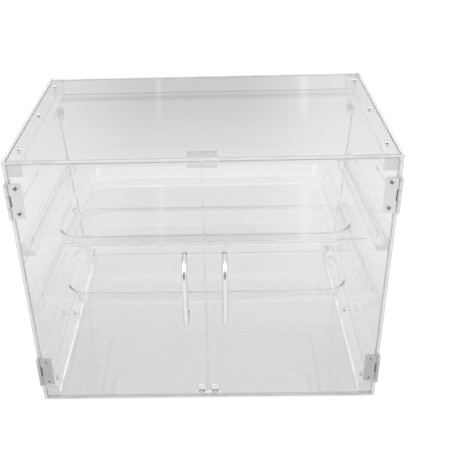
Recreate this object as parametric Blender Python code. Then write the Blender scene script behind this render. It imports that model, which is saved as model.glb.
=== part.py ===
"""Countertop bakery display case of clear sheet, with two hinged doors and two lift-out trays.

The doors face -Y, +X is right as seen from the doors, and +Z is up. The origin lies on the surface
that the feet stand on, under the middle of the whole outline. Lengths are in metres.
"""
import math

import bmesh
import bpy
from mathutils import Matrix, Vector

# Shell: the sides are upright at the doors and lean back below a short upright lip at the customer.
CASE_WIDTH = 0.533
CASE_HEIGHT = 0.424
TOP_DEPTH = 0.341
BASE_DEPTH = 0.440
LIP_HEIGHT = 0.032
BEND_RADIUS = 0.010
REAR_MARGIN = 0.0045
SHEET = 0.005
EDGE_EASE = 0.0004

# Square corner bars, and the panel screws that run into them
BAR = 0.020
BAR_SETBACK = 0.001
BAR_SCREW_INSET = 0.033
BAR_SCREW_RADIUS = 0.002
BAR_SCREW_REACH = 0.012
BAR_SCREW_HEAD_RADIUS = 0.004
BAR_SCREW_HEAD_HEIGHT = 0.0024

# Small blocks that hold the customer panel's upper corners
FIXING_WIDTH = 0.012
FIXING_HEIGHT = 0.026
FIXING_DEPTH = 0.010
FIXING_DROP = 0.051

# Doors
DOOR_SHEET = 0.005
DOOR_END_GAP = 0.001
DOOR_SIDE_GAP = 0.0005
DOOR_MEETING_GAP = 0.0015

# Butt hinges wrapped round the front corners
HINGE_HEIGHT = 0.054
HINGE_INSET = 0.060
HINGE_SIDE_INSET = 0.0005
KNUCKLE_RADIUS = 0.0026
KNUCKLE_BORE_RADIUS = 0.0012
KNUCKLE_CLEARANCE = 0.0004
KNUCKLE_FACE_GAP = 0.0002
LEAF_THICKNESS = 0.0012
LEAF_REACH = 0.0208
LEAF_CORNER = 0.0015
PIN_CLEARANCE = 0.0002
PIN_HEAD_RADIUS = 0.0019
PIN_HEAD_HEIGHT = 0.0012
HINGE_SCREW_OUT = 0.0128
HINGE_SCREW_SPREAD = 0.039
HINGE_SCREW_RADIUS = 0.0015
HINGE_SCREW_COVER = 0.0005
HINGE_SCREW_HEAD_RADIUS = 0.0040
HINGE_SCREW_HEAD_HEIGHT = 0.0018
HINGE_SCREW_HEAD_RIM = 0.0004

# Bow handles
HANDLE_SPACING = 0.1016
HANDLE_CENTRE = 0.2205
HANDLE_OFFSET = 0.0285
HANDLE_RADIUS = 0.004
HANDLE_PROJECTION = 0.040
HANDLE_BEND = 0.018
HANDLE_SCREW_RADIUS = 0.002
HANDLE_SCREW_REACH = 0.008
HANDLE_SCREW_HEAD_RADIUS = 0.0038
HANDLE_SCREW_HEAD_HEIGHT = 0.0022

# Door stop under the top panel, and the magnetic catch on the floor
STOP_WIDTH = 0.041
STOP_DEPTH = 0.022
STOP_HEIGHT = 0.011
CATCH_WIDTH = 0.040
CATCH_DEPTH = 0.011
CATCH_HEIGHT = 0.010
MAGNET_WIDTH = 0.011
MAGNET_HEIGHT = 0.007
MAGNET_EASE = 0.0003
MAGNET_SPACING = 0.021
MAGNET_RISE = 0.005
STRIKE_SHANK_RADIUS = 0.0015
STRIKE_HEAD_RADIUS = 0.0032
STRIKE_HEAD_HEIGHT = 0.0016
STRIKE_PLATE_RADIUS = 0.0036
STRIKE_PLATE_THICKNESS = 0.0012

# Sloping runners: an L section whose outer lip keeps the tray in line
SHELF_SLOPE = math.radians(5.0)
UPPER_LEDGE = 0.2815
SHELF_PITCH = 0.101
RUNNER_SETBACK = 0.0025
RUNNER_WIDTH = 0.018
RUNNER_LEDGE = 0.009
RUNNER_LIP_WIDTH = 0.006
RUNNER_LIP_HEIGHT = 0.011
RUNNER_SHORTFALL = 0.0085

# Vacuum-formed trays with a turned-down rim, both alike
TRAY_SIDE_CLEARANCE = 0.001
TRAY_REAR_CLEARANCE = 0.0006
TRAY_SETBACK = 0.0085
TRAY_WALL = 0.002
TRAY_RIM_DROP = 0.005
TRAY_CORNER = 0.030
TRAY_SIDE_FLANGE = 0.038
TRAY_END_FLANGE = 0.026
TRAY_RECESS_DEPTH = 0.022
TRAY_RECESS_CORNER = 0.036
TRAY_DRAFT = 0.008
TRAY_FILLET = 0.003
TRAY_EDGE_ROUND = 0.0012

# Bumper feet
FOOT_HEIGHT = 0.005
FOOT_RADIUS = 0.0063
FOOT_BASE_RADIUS = 0.0048
FOOT_SIDE_INSET = 0.0185
FOOT_END_INSET = 0.012

# Clearances: seats of still pieces, and screws in their holes
SEAT_GAP = 0.0003
HOLE_CLEARANCE = 0.0003
OVERRUN = 0.002
MERGE_DISTANCE = 0.000001

# Facets
SCREW_STEPS = 12
ROUND_STEPS = 16
DOME_STEPS = 3
CORNER_STEPS = 7
BEND_STEPS = 6
SMOOTH_ANGLE = math.radians(35.0)

# Places that several pieces share, in the case's own frame: X centred, Y from the doors' outer
# faces, Z from the underside of the side panels
INNER_HALF = CASE_WIDTH / 2 - SHEET
SEAT_HALF = INNER_HALF - SEAT_GAP
TOP_UNDERSIDE = CASE_HEIGHT - SHEET
LEAN = (BASE_DEPTH - TOP_DEPTH) / (CASE_HEIGHT - LIP_HEIGHT)
LEAN_ANGLE = math.atan(LEAN)
LIP_OUTER = TOP_DEPTH - REAR_MARGIN
LIP_INNER = LIP_OUTER - SHEET
BAR_FRONT = DOOR_SHEET + BAR_SETBACK
BAR_MIDDLE = SEAT_HALF - BAR / 2
HINGE_X = CASE_WIDTH / 2 - HINGE_SIDE_INSET
HINGE_Y = -(KNUCKLE_RADIUS + KNUCKLE_FACE_GAP)
SHELF_FRONT = DOOR_SHEET + RUNNER_SETBACK
TRAY_TOP = SEAT_GAP + TRAY_RIM_DROP
SIDES = {"left": -1, "right": 1}
SHELVES = {"upper": UPPER_LEDGE, "lower": UPPER_LEDGE - SHELF_PITCH}


def customer_outer(height):
    """Depth of the leaning customer panel's outer face at a height."""
    return BASE_DEPTH - REAR_MARGIN - LEAN * height


def customer_inner(height):
    """Depth of the leaning customer panel's inner face at a height."""
    return customer_outer(height) - SHEET / math.cos(LEAN_ANGLE)


def tray_end():
    """Distance along the upper runners to where the tray's rear edge meets the customer panel."""
    along, across = math.cos(SHELF_SLOPE), math.sin(SHELF_SLOPE)
    start = customer_inner(UPPER_LEDGE + TRAY_TOP * along) - SHELF_FRONT - TRAY_TOP * across
    return start / (along - LEAN * across) - TRAY_REAR_CLEARANCE


def clear_scene():
    for item in list(bpy.data.objects):
        bpy.data.objects.remove(item, do_unlink=True)


def make_material(name, colour, roughness, metallic, alpha=1.0):
    """Principled material of one finish."""
    material = bpy.data.materials.new(name)
    material.use_nodes = True
    shader = material.node_tree.nodes["Principled BSDF"]
    shader.inputs["Base Color"].default_value = (*colour, 1.0)
    shader.inputs["Roughness"].default_value = roughness
    shader.inputs["Metallic"].default_value = metallic
    shader.inputs["Alpha"].default_value = alpha
    return material


def make_materials():
    """One material for each slot of the case."""
    return {
        "clear_sheet": make_material("clear_sheet", (0.93, 0.95, 0.95), 0.04, 0.0, 0.30),
        "clear_bar": make_material("clear_bar", (0.95, 0.96, 0.96), 0.05, 0.0, 0.35),
        "clear_tray": make_material("clear_tray", (0.92, 0.93, 0.93), 0.08, 0.0, 0.40),
        "hinge_steel": make_material("hinge_steel", (0.62, 0.62, 0.61), 0.25, 1.0),
        "handle_chrome": make_material("handle_chrome", (0.86, 0.86, 0.87), 0.18, 1.0),
        "screw_steel": make_material("screw_steel", (0.72, 0.72, 0.72), 0.22, 1.0),
        "magnet_nickel": make_material("magnet_nickel", (0.80, 0.79, 0.76), 0.2, 1.0),
        "foot_clear": make_material("foot_clear", (0.90, 0.91, 0.90), 0.3, 0.0, 0.6),
    }


def to_mesh(bm):
    """Turn a bmesh into a mesh whose faces point outwards."""
    bmesh.ops.recalc_face_normals(bm, faces=bm.faces[:])
    mesh = bpy.data.meshes.new("solid")
    bm.to_mesh(mesh)
    bm.free()
    return mesh


def prism(outline, low, high, axis, ease=0.0):
    """Extrude an outline from low to high along an axis, with its sharp edges eased.

    The outline's two values run along the other two axes, in X, Y, Z order.
    """
    order = {"X": (2, 0, 1), "Y": (0, 2, 1), "Z": (0, 1, 2)}[axis]
    bm = bmesh.new()
    corners = []
    for first, second in outline:
        values = (first, second, low)
        corners.append(bm.verts.new([values[place] for place in order]))
    end = bm.faces.new(corners)
    raised = bmesh.ops.extrude_face_region(bm, geom=[end])["geom"]
    rise = (0.0, 0.0, high - low)
    moved = [item for item in raised if isinstance(item, bmesh.types.BMVert)]
    bmesh.ops.translate(bm, verts=moved, vec=[rise[place] for place in order])
    if ease:
        sharp = [edge for edge in bm.edges if edge.calc_face_angle(0.0) > SMOOTH_ANGLE]
        bmesh.ops.bevel(bm, geom=sharp, offset=ease, segments=1, profile=0.5, affect="EDGES")
    return to_mesh(bm)


def block(x_range, y_range, z_range, ease=0.0):
    """Rectangular block between three pairs of values."""
    (left, right), (front, rear) = x_range, y_range
    outline = [(left, front), (right, front), (right, rear), (left, rear)]
    return prism(outline, *z_range, "Z", ease)


def span(side, inner, outer):
    """Range of X between two distances from the middle, on one side."""
    return tuple(sorted((side * inner, side * outer)))


def turned(profile, at, along, steps):
    """Turn (radius, height) points about a line through a point, height running along it."""
    bm = bmesh.new()
    points = [bm.verts.new((radius, 0.0, height)) for radius, height in profile]
    edges = [bm.edges.new(pair) for pair in zip(points, points[1:])]
    bmesh.ops.spin(
        bm, geom=points + edges, cent=(0.0, 0.0, 0.0), axis=(0.0, 0.0, 1.0), angle=math.tau, steps=steps
    )
    bmesh.ops.remove_doubles(bm, verts=bm.verts[:], dist=MERGE_DISTANCE)
    turn = Vector(along).to_track_quat("Z", "Y").to_matrix().to_4x4()
    bmesh.ops.transform(bm, matrix=Matrix.Translation(at) @ turn, verts=bm.verts[:])
    return to_mesh(bm)


def rod(radius, at, along, low, high, steps=SCREW_STEPS):
    """Plain round rod between two heights on a line through a point."""
    return turned([(0.0, low), (radius, low), (radius, high), (0.0, high)], at, along, steps)


def dome(radius, base, height):
    """Profile points of a domed head, from its rim to its top."""
    points = []
    for step in range(DOME_STEPS + 1):
        angle = math.radians(90) * step / DOME_STEPS
        points.append((radius * math.cos(angle) if step < DOME_STEPS else 0.0, base + height * math.sin(angle)))
    return points


def round_corner(centre, radius, start, sweep, steps):
    """Points of an arc, from an angle through a sweep, both in radians."""
    points = []
    for step in range(steps + 1):
        angle = start + sweep * step / steps
        points.append((centre[0] + radius * math.cos(angle), centre[1] + radius * math.sin(angle)))
    return points


def combine(body, tool, operation):
    """Join a tool to a body, or cut it out, and hand back the new mesh."""
    pieces = [bpy.data.objects.new("body", body), bpy.data.objects.new("tool", tool)]
    for piece in pieces:
        bpy.context.collection.objects.link(piece)
    change = pieces[0].modifiers.new("change", "BOOLEAN")
    change.operation = operation
    change.object = pieces[1]
    change.solver = "EXACT"
    bpy.context.view_layer.update()
    evaluated = pieces[0].evaluated_get(bpy.context.evaluated_depsgraph_get())
    mesh = bpy.data.meshes.new_from_object(evaluated)
    for piece in pieces:
        bpy.data.objects.remove(piece, do_unlink=True)
    return mesh


def fuse(body, tools):
    for tool in tools:
        body = combine(body, tool, "UNION")
    return body


def carve(body, tools):
    for tool in tools:
        body = combine(body, tool, "DIFFERENCE")
    return body


def place(name, mesh, material, parent, at=(0.0, 0.0, 0.0)):
    """Put a mesh into the scene as one named piece, at a point of its parent's frame."""
    if not mesh.materials:
        mesh.name = name
        mesh.materials.append(material)
        mesh.shade_smooth()
        mesh.set_sharp_from_angle(angle=SMOOTH_ANGLE)
    piece = bpy.data.objects.new(name, mesh)
    bpy.context.collection.objects.link(piece)
    piece.parent = parent
    piece.location = at
    return piece


def guide(name, parent, at, tilt=0.0):
    """Empty that carries pieces, at a point of its parent and tilted about X."""
    empty = bpy.data.objects.new(name, None)
    bpy.context.collection.objects.link(empty)
    empty.parent = parent
    empty.location = at
    empty.rotation_euler = (tilt, 0.0, 0.0)
    return empty


def bar_screw_places(front, rear):
    """Depths of a bar's screws: one near each end and one midway."""
    first, last = front + BAR_SCREW_INSET, rear - BAR_SCREW_INSET
    return {"front": first, "middle": (first + last) / 2, "rear": last}


def top_screw_places():
    return bar_screw_places(BAR_FRONT, LIP_INNER - SEAT_GAP)


def floor_screw_places():
    return bar_screw_places(BAR_FRONT, customer_inner(SHEET + SEAT_GAP + BAR) - SEAT_GAP)


def bar_screw_holes(depths, low, high):
    """Cutters for both bars' screw holes between two heights."""
    holes = []
    for side in SIDES.values():
        for depth in depths.values():
            at = (side * BAR_MIDDLE, depth, 0.0)
            holes.append(rod(BAR_SCREW_RADIUS + HOLE_CLEARANCE, at, (0, 0, 1), low, high))
    return holes


def hinge_centres():
    """Heights of the lower and upper hinges' middles."""
    return {"lower": HINGE_INSET, "upper": CASE_HEIGHT - HINGE_INSET}


def hinge_screw_heights():
    """Heights of a door side's hinge screws."""
    halves = (-HINGE_SCREW_SPREAD / 2, HINGE_SCREW_SPREAD / 2)
    return [centre + half for centre in hinge_centres().values() for half in halves]


def build_side_panels(datum, materials):
    """Side panels: full height, following the lip and the lean of the customer side."""
    outline = [
        (0.0, 0.0),
        (BASE_DEPTH, 0.0),
        (TOP_DEPTH, CASE_HEIGHT - LIP_HEIGHT),
        (TOP_DEPTH, CASE_HEIGHT),
        (0.0, CASE_HEIGHT),
    ]
    for word, side in SIDES.items():
        outer = CASE_WIDTH / 2
        panel = prism(outline, *span(side, INNER_HALF, outer), "X", EDGE_EASE)
        holes = []
        for height in hinge_screw_heights():
            at = (side * outer, HINGE_Y + HINGE_SCREW_OUT, height)
            reach = SHEET + OVERRUN
            holes.append(rod(HINGE_SCREW_RADIUS + HOLE_CLEARANCE, at, (side, 0, 0), -reach, OVERRUN))
        place(f"side_panel_{word}", carve(panel, holes), materials["clear_sheet"], datum)


def build_top_and_floor(datum, materials):
    """Top and floor panels between the sides, each drilled for its bar screws."""
    width = (-SEAT_HALF, SEAT_HALF)
    top = block(width, (0.0, LIP_INNER - SEAT_GAP), (TOP_UNDERSIDE, CASE_HEIGHT), EDGE_EASE)
    holes = bar_screw_holes(top_screw_places(), TOP_UNDERSIDE - OVERRUN, CASE_HEIGHT + OVERRUN)
    place("top_panel", carve(top, holes), materials["clear_sheet"], datum)
    floor = block(width, (0.0, customer_outer(0.0)), (0.0, SHEET), EDGE_EASE)
    holes = bar_screw_holes(floor_screw_places(), -OVERRUN, SHEET + OVERRUN)
    place("floor_panel", carve(floor, holes), materials["clear_sheet"], datum)


def build_customer_panel(datum, materials):
    """Customer panel: one bent sheet, upright at the lip and leaning out down to the floor."""
    foot = SHEET + SEAT_GAP
    bend_start = CASE_HEIGHT - LIP_HEIGHT + BEND_RADIUS * math.tan(LEAN_ANGLE / 2)
    centre = (LIP_OUTER + BEND_RADIUS, bend_start)
    outer = round_corner(centre, BEND_RADIUS, math.pi, LEAN_ANGLE, BEND_STEPS)
    inner = round_corner(centre, BEND_RADIUS + SHEET, math.pi, LEAN_ANGLE, BEND_STEPS)
    outline = [(LIP_OUTER, CASE_HEIGHT)] + outer + [(customer_outer(foot), foot), (customer_inner(foot), foot)]
    outline += list(reversed(inner)) + [(LIP_INNER, CASE_HEIGHT)]
    panel = prism(outline, -SEAT_HALF, SEAT_HALF, "X", EDGE_EASE)
    place("customer_panel", panel, materials["clear_sheet"], datum)


def build_bars(datum, materials):
    """Square bars along the top and bottom corners, bored for the panel screws."""
    top_low, top_high = TOP_UNDERSIDE - SEAT_GAP - BAR, TOP_UNDERSIDE - SEAT_GAP
    low, high = SHEET + SEAT_GAP, SHEET + SEAT_GAP + BAR
    rear_low, rear_high = customer_inner(low) - SEAT_GAP, customer_inner(high) - SEAT_GAP
    foot_outline = [(BAR_FRONT, low), (rear_low, low), (rear_high, high), (BAR_FRONT, high)]
    bore = BAR_SCREW_REACH + HOLE_CLEARANCE
    for word, side in SIDES.items():
        x_range = span(side, SEAT_HALF - BAR, SEAT_HALF)
        bar = block(x_range, (BAR_FRONT, LIP_INNER - SEAT_GAP), (top_low, top_high), EDGE_EASE)
        holes = bar_screw_holes(top_screw_places(), top_high - bore, top_high + OVERRUN)
        place(f"top_bar_{word}", carve(bar, holes), materials["clear_bar"], datum)
        bar = prism(foot_outline, *x_range, "X", EDGE_EASE)
        holes = bar_screw_holes(floor_screw_places(), low - OVERRUN, low + bore)
        place(f"bottom_bar_{word}", carve(bar, holes), materials["clear_bar"], datum)


def build_bar_screws(datum, materials):
    """Round-head screws: down through the top panel and up through the floor panel."""
    shank = SHEET + SEAT_GAP + BAR_SCREW_REACH
    profile = [(0.0, -shank), (BAR_SCREW_RADIUS, -shank), (BAR_SCREW_RADIUS, SEAT_GAP)]
    profile += dome(BAR_SCREW_HEAD_RADIUS, SEAT_GAP, BAR_SCREW_HEAD_HEIGHT)
    rows = {
        "top": (turned(profile, (0, 0, 0), (0, 0, 1), SCREW_STEPS), top_screw_places(), CASE_HEIGHT),
        "floor": (turned(profile, (0, 0, 0), (0, 0, -1), SCREW_STEPS), floor_screw_places(), 0.0),
    }
    for row, (mesh, depths, height) in rows.items():
        for word, side in SIDES.items():
            for position, depth in depths.items():
                name = f"{row}_screw_{position}_{word}"
                place(name, mesh, materials["screw_steel"], datum, (side * BAR_MIDDLE, depth, height))


def build_fixing_blocks(datum, materials):
    """Blocks in the corners between the sides and the leaning customer panel."""
    high = CASE_HEIGHT - FIXING_DROP
    low = high - FIXING_HEIGHT
    rear = [customer_inner(height) - SEAT_GAP for height in (low, high)]
    outline = [(rear[0] - FIXING_DEPTH, low), (rear[0], low), (rear[1], high), (rear[1] - FIXING_DEPTH, high)]
    for word, side in SIDES.items():
        fixing = prism(outline, *span(side, SEAT_HALF - FIXING_WIDTH, SEAT_HALF), "X", EDGE_EASE)
        place(f"fixing_block_{word}", fixing, materials["clear_bar"], datum)


def build_runners(shelf, height_word, materials):
    """Pair of runners: a ledge under the tray and a lip outside it, along the shelf's slope."""
    base, lip = -RUNNER_LEDGE, RUNNER_LIP_HEIGHT
    length = tray_end() - RUNNER_SHORTFALL
    for word, side in SIDES.items():
        inner, step, outer = (SEAT_HALF - width for width in (RUNNER_WIDTH, RUNNER_LIP_WIDTH, 0.0))
        section = [(inner, base), (outer, base), (outer, lip), (step, lip), (step, 0.0), (inner, 0.0)]
        outline = [(side * across, rise) for across, rise in section]
        runner = prism(outline, 0.0, length, "Y", EDGE_EASE)
        place(f"{height_word}_runner_{word}", runner, materials["clear_bar"], shelf)


def tray_ring(bm, half_width, front, rear, inset, corner, height):
    """Ring of vertices round a rectangle with round corners, drawn in by an inset."""
    across, near, far = half_width - inset, front + inset, rear - inset
    places = [(1, near, -1), (1, far, 0), (-1, far, 1), (-1, near, 2)]
    ring = []
    for sign, edge, quarter in places:
        centre_y = edge + (corner if edge == near else -corner)
        centre = (sign * (across - corner), centre_y)
        for x, y in round_corner(centre, corner, quarter * math.pi / 2, math.pi / 2, CORNER_STEPS):
            ring.append(bm.verts.new((x, y, height)))
    return ring


def build_tray_mesh():
    """Tray skin: rim up to the flange, down into the recess, and the same back underneath."""
    bm = bmesh.new()
    half = SEAT_HALF - RUNNER_LIP_WIDTH - TRAY_SIDE_CLEARANCE
    front, rear = TRAY_SETBACK, tray_end()
    extra = TRAY_SIDE_FLANGE - TRAY_END_FLANGE
    floor = TRAY_TOP - TRAY_RECESS_DEPTH

    def outer_ring(inset, height):
        return tray_ring(bm, half, front, rear, inset, TRAY_CORNER - inset, height)

    def recess_ring(inset, height):
        corner = TRAY_RECESS_CORNER - inset
        return tray_ring(bm, half - extra, front, rear, TRAY_END_FLANGE + inset, corner, height)

    wall, ease, fillet = TRAY_WALL, TRAY_EDGE_ROUND, TRAY_FILLET
    underside = TRAY_TOP - wall
    rings = [
        outer_ring(0.0, SEAT_GAP),
        outer_ring(0.0, TRAY_TOP - ease),
        outer_ring(ease, TRAY_TOP),
        recess_ring(-ease, TRAY_TOP),
        recess_ring(0.0, TRAY_TOP - ease),
        recess_ring(TRAY_DRAFT, floor + fillet),
        recess_ring(TRAY_DRAFT + fillet, floor),
    ]
    under_rings = [
        recess_ring(TRAY_DRAFT + fillet - wall / 2, floor - wall),
        recess_ring(TRAY_DRAFT - wall, floor + fillet - wall / 2),
        recess_ring(-wall, underside - ease),
        recess_ring(-wall - ease, underside),
        outer_ring(wall + ease, underside),
        outer_ring(wall, underside - ease),
        outer_ring(wall, SEAT_GAP),
    ]
    loops = rings + under_rings
    bm.faces.new(rings[-1])
    bm.faces.new(reversed(under_rings[0]))
    for index, ring in enumerate(loops):
        if index == len(rings) - 1:
            continue
        following = loops[(index + 1) % len(loops)]
        for place_index in range(len(ring)):
            after = (place_index + 1) % len(ring)
            bm.faces.new((ring[place_index], ring[after], following[after], following[place_index]))
    return to_mesh(bm)


def build_shelves(datum, materials):
    """Two sloping shelves, each a pair of runners with a tray resting on their ledges."""
    tray_mesh = build_tray_mesh()
    for word, ledge in SHELVES.items():
        shelf = guide(f"{word}_shelf", datum, (0.0, SHELF_FRONT, ledge), -SHELF_SLOPE)
        build_runners(shelf, word, materials)
        slide = guide(f"{word}_tray_slide", shelf, (0.0, 0.0, 0.0))
        place(f"{word}_tray", tray_mesh, materials["clear_tray"], slide)


def leaf_screws(heights, outward, shank, surface):
    """Hinge screws through a leaf, standing on its outer surface and reaching into the sheet."""
    profile = [(0.0, -shank), (HINGE_SCREW_RADIUS, -shank), (HINGE_SCREW_RADIUS, -LEAF_THICKNESS / 2)]
    profile.append((HINGE_SCREW_HEAD_RADIUS, -LEAF_THICKNESS / 2))
    crown = HINGE_SCREW_HEAD_HEIGHT - HINGE_SCREW_HEAD_RIM
    profile += dome(HINGE_SCREW_HEAD_RADIUS, HINGE_SCREW_HEAD_RIM, crown)
    return [turned(profile, (*surface, height), outward, SCREW_STEPS) for height in heights]


def leaf_outline(middle_tongue):
    """Leaf outline beside the hinge line, with its knuckle tongues in the middle or at the ends."""
    top, third = HINGE_HEIGHT / 2, HINGE_HEIGHT / 6
    neck = KNUCKLE_RADIUS + KNUCKLE_CLEARANCE
    split = third - KNUCKLE_CLEARANCE / 2 if middle_tongue else third + KNUCKLE_CLEARANCE / 2
    turn = LEAF_REACH - LEAF_CORNER
    upper = round_corner((turn, top - LEAF_CORNER), LEAF_CORNER, math.pi / 2, -math.pi / 2, DOME_STEPS)
    lower = [(out, -height) for out, height in reversed(upper)]
    if middle_tongue:
        return [(0.0, split), (neck, split), (neck, top)] + upper + lower + [
            (neck, -top), (neck, -split), (0.0, -split)]
    return [(0.0, top)] + upper + lower + [
        (0.0, -top), (0.0, -split), (neck, -split), (neck, split), (0.0, split)]


def build_leaf(side, on_door):
    """One hinge leaf with its knuckles, bore and screws, its zero on the hinge line."""
    half, third = HINGE_HEIGHT / 2, HINGE_HEIGHT / 6
    split = third - KNUCKLE_CLEARANCE / 2 if on_door else third + KNUCKLE_CLEARANCE / 2
    heights = (-HINGE_SCREW_SPREAD / 2, HINGE_SCREW_SPREAD / 2)
    outline = leaf_outline(on_door)
    if on_door:
        rear = -HINGE_Y - SEAT_GAP
        outline = [(-side * out, height) for out, height in outline]
        plate = prism(outline, rear - LEAF_THICKNESS, rear, "Y")
        shank = LEAF_THICKNESS + SEAT_GAP + DOOR_SHEET - HINGE_SCREW_COVER
        surface = (-side * HINGE_SCREW_OUT, rear - LEAF_THICKNESS)
        screws = leaf_screws(heights, (0, -1, 0), shank, surface)
        ranges = [(-split, split)]
    else:
        inner = HINGE_SIDE_INSET + SEAT_GAP
        plate = prism(outline, *span(side, inner, inner + LEAF_THICKNESS), "X")
        shank = LEAF_THICKNESS + SEAT_GAP + SHEET - HINGE_SCREW_COVER
        surface = (side * (inner + LEAF_THICKNESS), HINGE_SCREW_OUT)
        screws = leaf_screws(heights, (side, 0, 0), shank, surface)
        ranges = [(-half, -split), (split, half)]
    knuckles = [rod(KNUCKLE_RADIUS, (0, 0, 0), (0, 0, 1), *ends, ROUND_STEPS) for ends in ranges]
    reach = half + OVERRUN
    bore = rod(KNUCKLE_BORE_RADIUS, (0, 0, 0), (0, 0, 1), -reach, reach, SCREW_STEPS)
    return carve(fuse(plate, knuckles + screws), [bore])


def build_pin_mesh():
    """Hinge pin with a domed head beyond each end knuckle."""
    half = HINGE_HEIGHT / 2 + SEAT_GAP
    upper = [(KNUCKLE_BORE_RADIUS - PIN_CLEARANCE, half)] + dome(PIN_HEAD_RADIUS, half, PIN_HEAD_HEIGHT)
    lower = [(radius, -height) for radius, height in reversed(upper)]
    return turned(lower + upper, (0, 0, 0), (0, 0, 1), SCREW_STEPS)


def build_door(side):
    """Door panel with its hinge, handle and strike holes, in the case's frame."""
    x_range = span(side, DOOR_MEETING_GAP / 2, INNER_HALF - DOOR_SIDE_GAP)
    z_range = (SHEET + DOOR_END_GAP, TOP_UNDERSIDE - DOOR_END_GAP)
    panel = block(x_range, (0.0, DOOR_SHEET), z_range, EDGE_EASE)
    places = [(HINGE_SCREW_RADIUS, HINGE_X - HINGE_SCREW_OUT, height) for height in hinge_screw_heights()]
    places += [(HANDLE_SCREW_RADIUS, HANDLE_OFFSET, height) for height in handle_heights().values()]
    places.append((STRIKE_SHANK_RADIUS, MAGNET_SPACING / 2, magnet_height()))
    reach = DOOR_SHEET + OVERRUN
    holes = []
    for radius, across, height in places:
        at = (side * across, 0.0, height)
        holes.append(rod(radius + HOLE_CLEARANCE, at, (0, 1, 0), -OVERRUN, reach))
    return carve(panel, holes)


def handle_heights():
    half = HANDLE_SPACING / 2
    return {"lower": HANDLE_CENTRE - half, "upper": HANDLE_CENTRE + half}


def build_handle_mesh():
    """Bow handle: a round bar bent twice, with a blind bore in each foot, its zero midway on the door."""
    half, out = HANDLE_SPACING / 2, HANDLE_PROJECTION - HANDLE_RADIUS
    turn = (HANDLE_BEND - out, half - HANDLE_BEND)
    bend = round_corner(turn, HANDLE_BEND, math.pi / 2, math.pi / 2, BEND_STEPS)
    upper = [(-SEAT_GAP, half)] + bend
    path = upper + [(depth, -height) for depth, height in reversed(upper)]
    curve = bpy.data.curves.new("handle_path", "CURVE")
    curve.dimensions = "3D"
    curve.bevel_depth = HANDLE_RADIUS
    curve.bevel_resolution = 4
    curve.use_fill_caps = True
    line = curve.splines.new("POLY")
    line.points.add(len(path) - 1)
    for point, (depth, height) in zip(line.points, path):
        point.co = (0.0, depth, height, 1.0)
    holder = bpy.data.objects.new("handle_path", curve)
    bpy.context.collection.objects.link(holder)
    bpy.context.view_layer.update()
    bar = bpy.data.meshes.new_from_object(holder.evaluated_get(bpy.context.evaluated_depsgraph_get()))
    bpy.data.objects.remove(holder, do_unlink=True)
    bores = []
    for height in (-half, half):
        depth = HANDLE_SCREW_REACH + HOLE_CLEARANCE
        bores.append(rod(HANDLE_SCREW_RADIUS + HOLE_CLEARANCE, (0, 0, height), (0, -1, 0), -OVERRUN, depth))
    bm = bmesh.new()
    bm.from_mesh(bar)
    bmesh.ops.remove_doubles(bm, verts=bm.verts[:], dist=MERGE_DISTANCE)
    return carve(to_mesh(bm), bores)


def build_handle_screw_mesh():
    """Screw from inside the door into a handle foot, its zero on the door's inner face."""
    shank = DOOR_SHEET + HANDLE_SCREW_REACH
    profile = [(0.0, -shank), (HANDLE_SCREW_RADIUS, -shank), (HANDLE_SCREW_RADIUS, SEAT_GAP)]
    profile += dome(HANDLE_SCREW_HEAD_RADIUS, SEAT_GAP, HANDLE_SCREW_HEAD_HEIGHT)
    return turned(profile, (0, 0, 0), (0, 1, 0), SCREW_STEPS)


def build_strike_mesh():
    """Riveted steel strike: head outside the door and a flat plate inside, its zero on the outer face."""
    inner = DOOR_SHEET + SEAT_GAP
    head = dome(STRIKE_HEAD_RADIUS, SEAT_GAP, STRIKE_HEAD_HEIGHT)
    profile = [(0.0, -inner - STRIKE_PLATE_THICKNESS), (STRIKE_PLATE_RADIUS, -inner - STRIKE_PLATE_THICKNESS)]
    profile += [(STRIKE_PLATE_RADIUS, -inner), (STRIKE_SHANK_RADIUS, -inner), (STRIKE_SHANK_RADIUS, SEAT_GAP)]
    return turned(profile + head, (0, 0, 0), (0, -1, 0), SCREW_STEPS)


def build_doors(datum, materials):
    """Each door with its leaves, handle and strike on a pivot, and the frame leaves and pins beside it."""
    handle, handle_screw, strike = build_handle_mesh(), build_handle_screw_mesh(), build_strike_mesh()
    pin = build_pin_mesh()
    for word, side in SIDES.items():
        line = Vector((side * HINGE_X, HINGE_Y, 0.0))
        pivot = guide(f"{word}_door_pivot", datum, line)
        place(f"door_{word}", build_door(side), materials["clear_sheet"], pivot, -line)
        door_leaf, frame_leaf = build_leaf(side, True), build_leaf(side, False)
        for position, height in hinge_centres().items():
            rise = Vector((0.0, 0.0, height))
            steel = materials["hinge_steel"]
            place(f"{position}_hinge_door_leaf_{word}", door_leaf, steel, pivot, rise)
            place(f"{position}_hinge_frame_leaf_{word}", frame_leaf, steel, datum, line + rise)
            place(f"{position}_hinge_pin_{word}", pin, materials["screw_steel"], datum, line + rise)
        at = Vector((side * HANDLE_OFFSET, 0.0, HANDLE_CENTRE))
        place(f"handle_{word}", handle, materials["handle_chrome"], pivot, at - line)
        for position, height in handle_heights().items():
            at = Vector((side * HANDLE_OFFSET, DOOR_SHEET, height))
            name = f"{position}_handle_screw_{word}"
            place(name, handle_screw, materials["screw_steel"], pivot, at - line)
        at = Vector((side * MAGNET_SPACING / 2, 0.0, magnet_height()))
        place(f"strike_{word}", strike, materials["screw_steel"], pivot, at - line)


def magnet_height():
    return SHEET + SEAT_GAP + MAGNET_RISE


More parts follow.
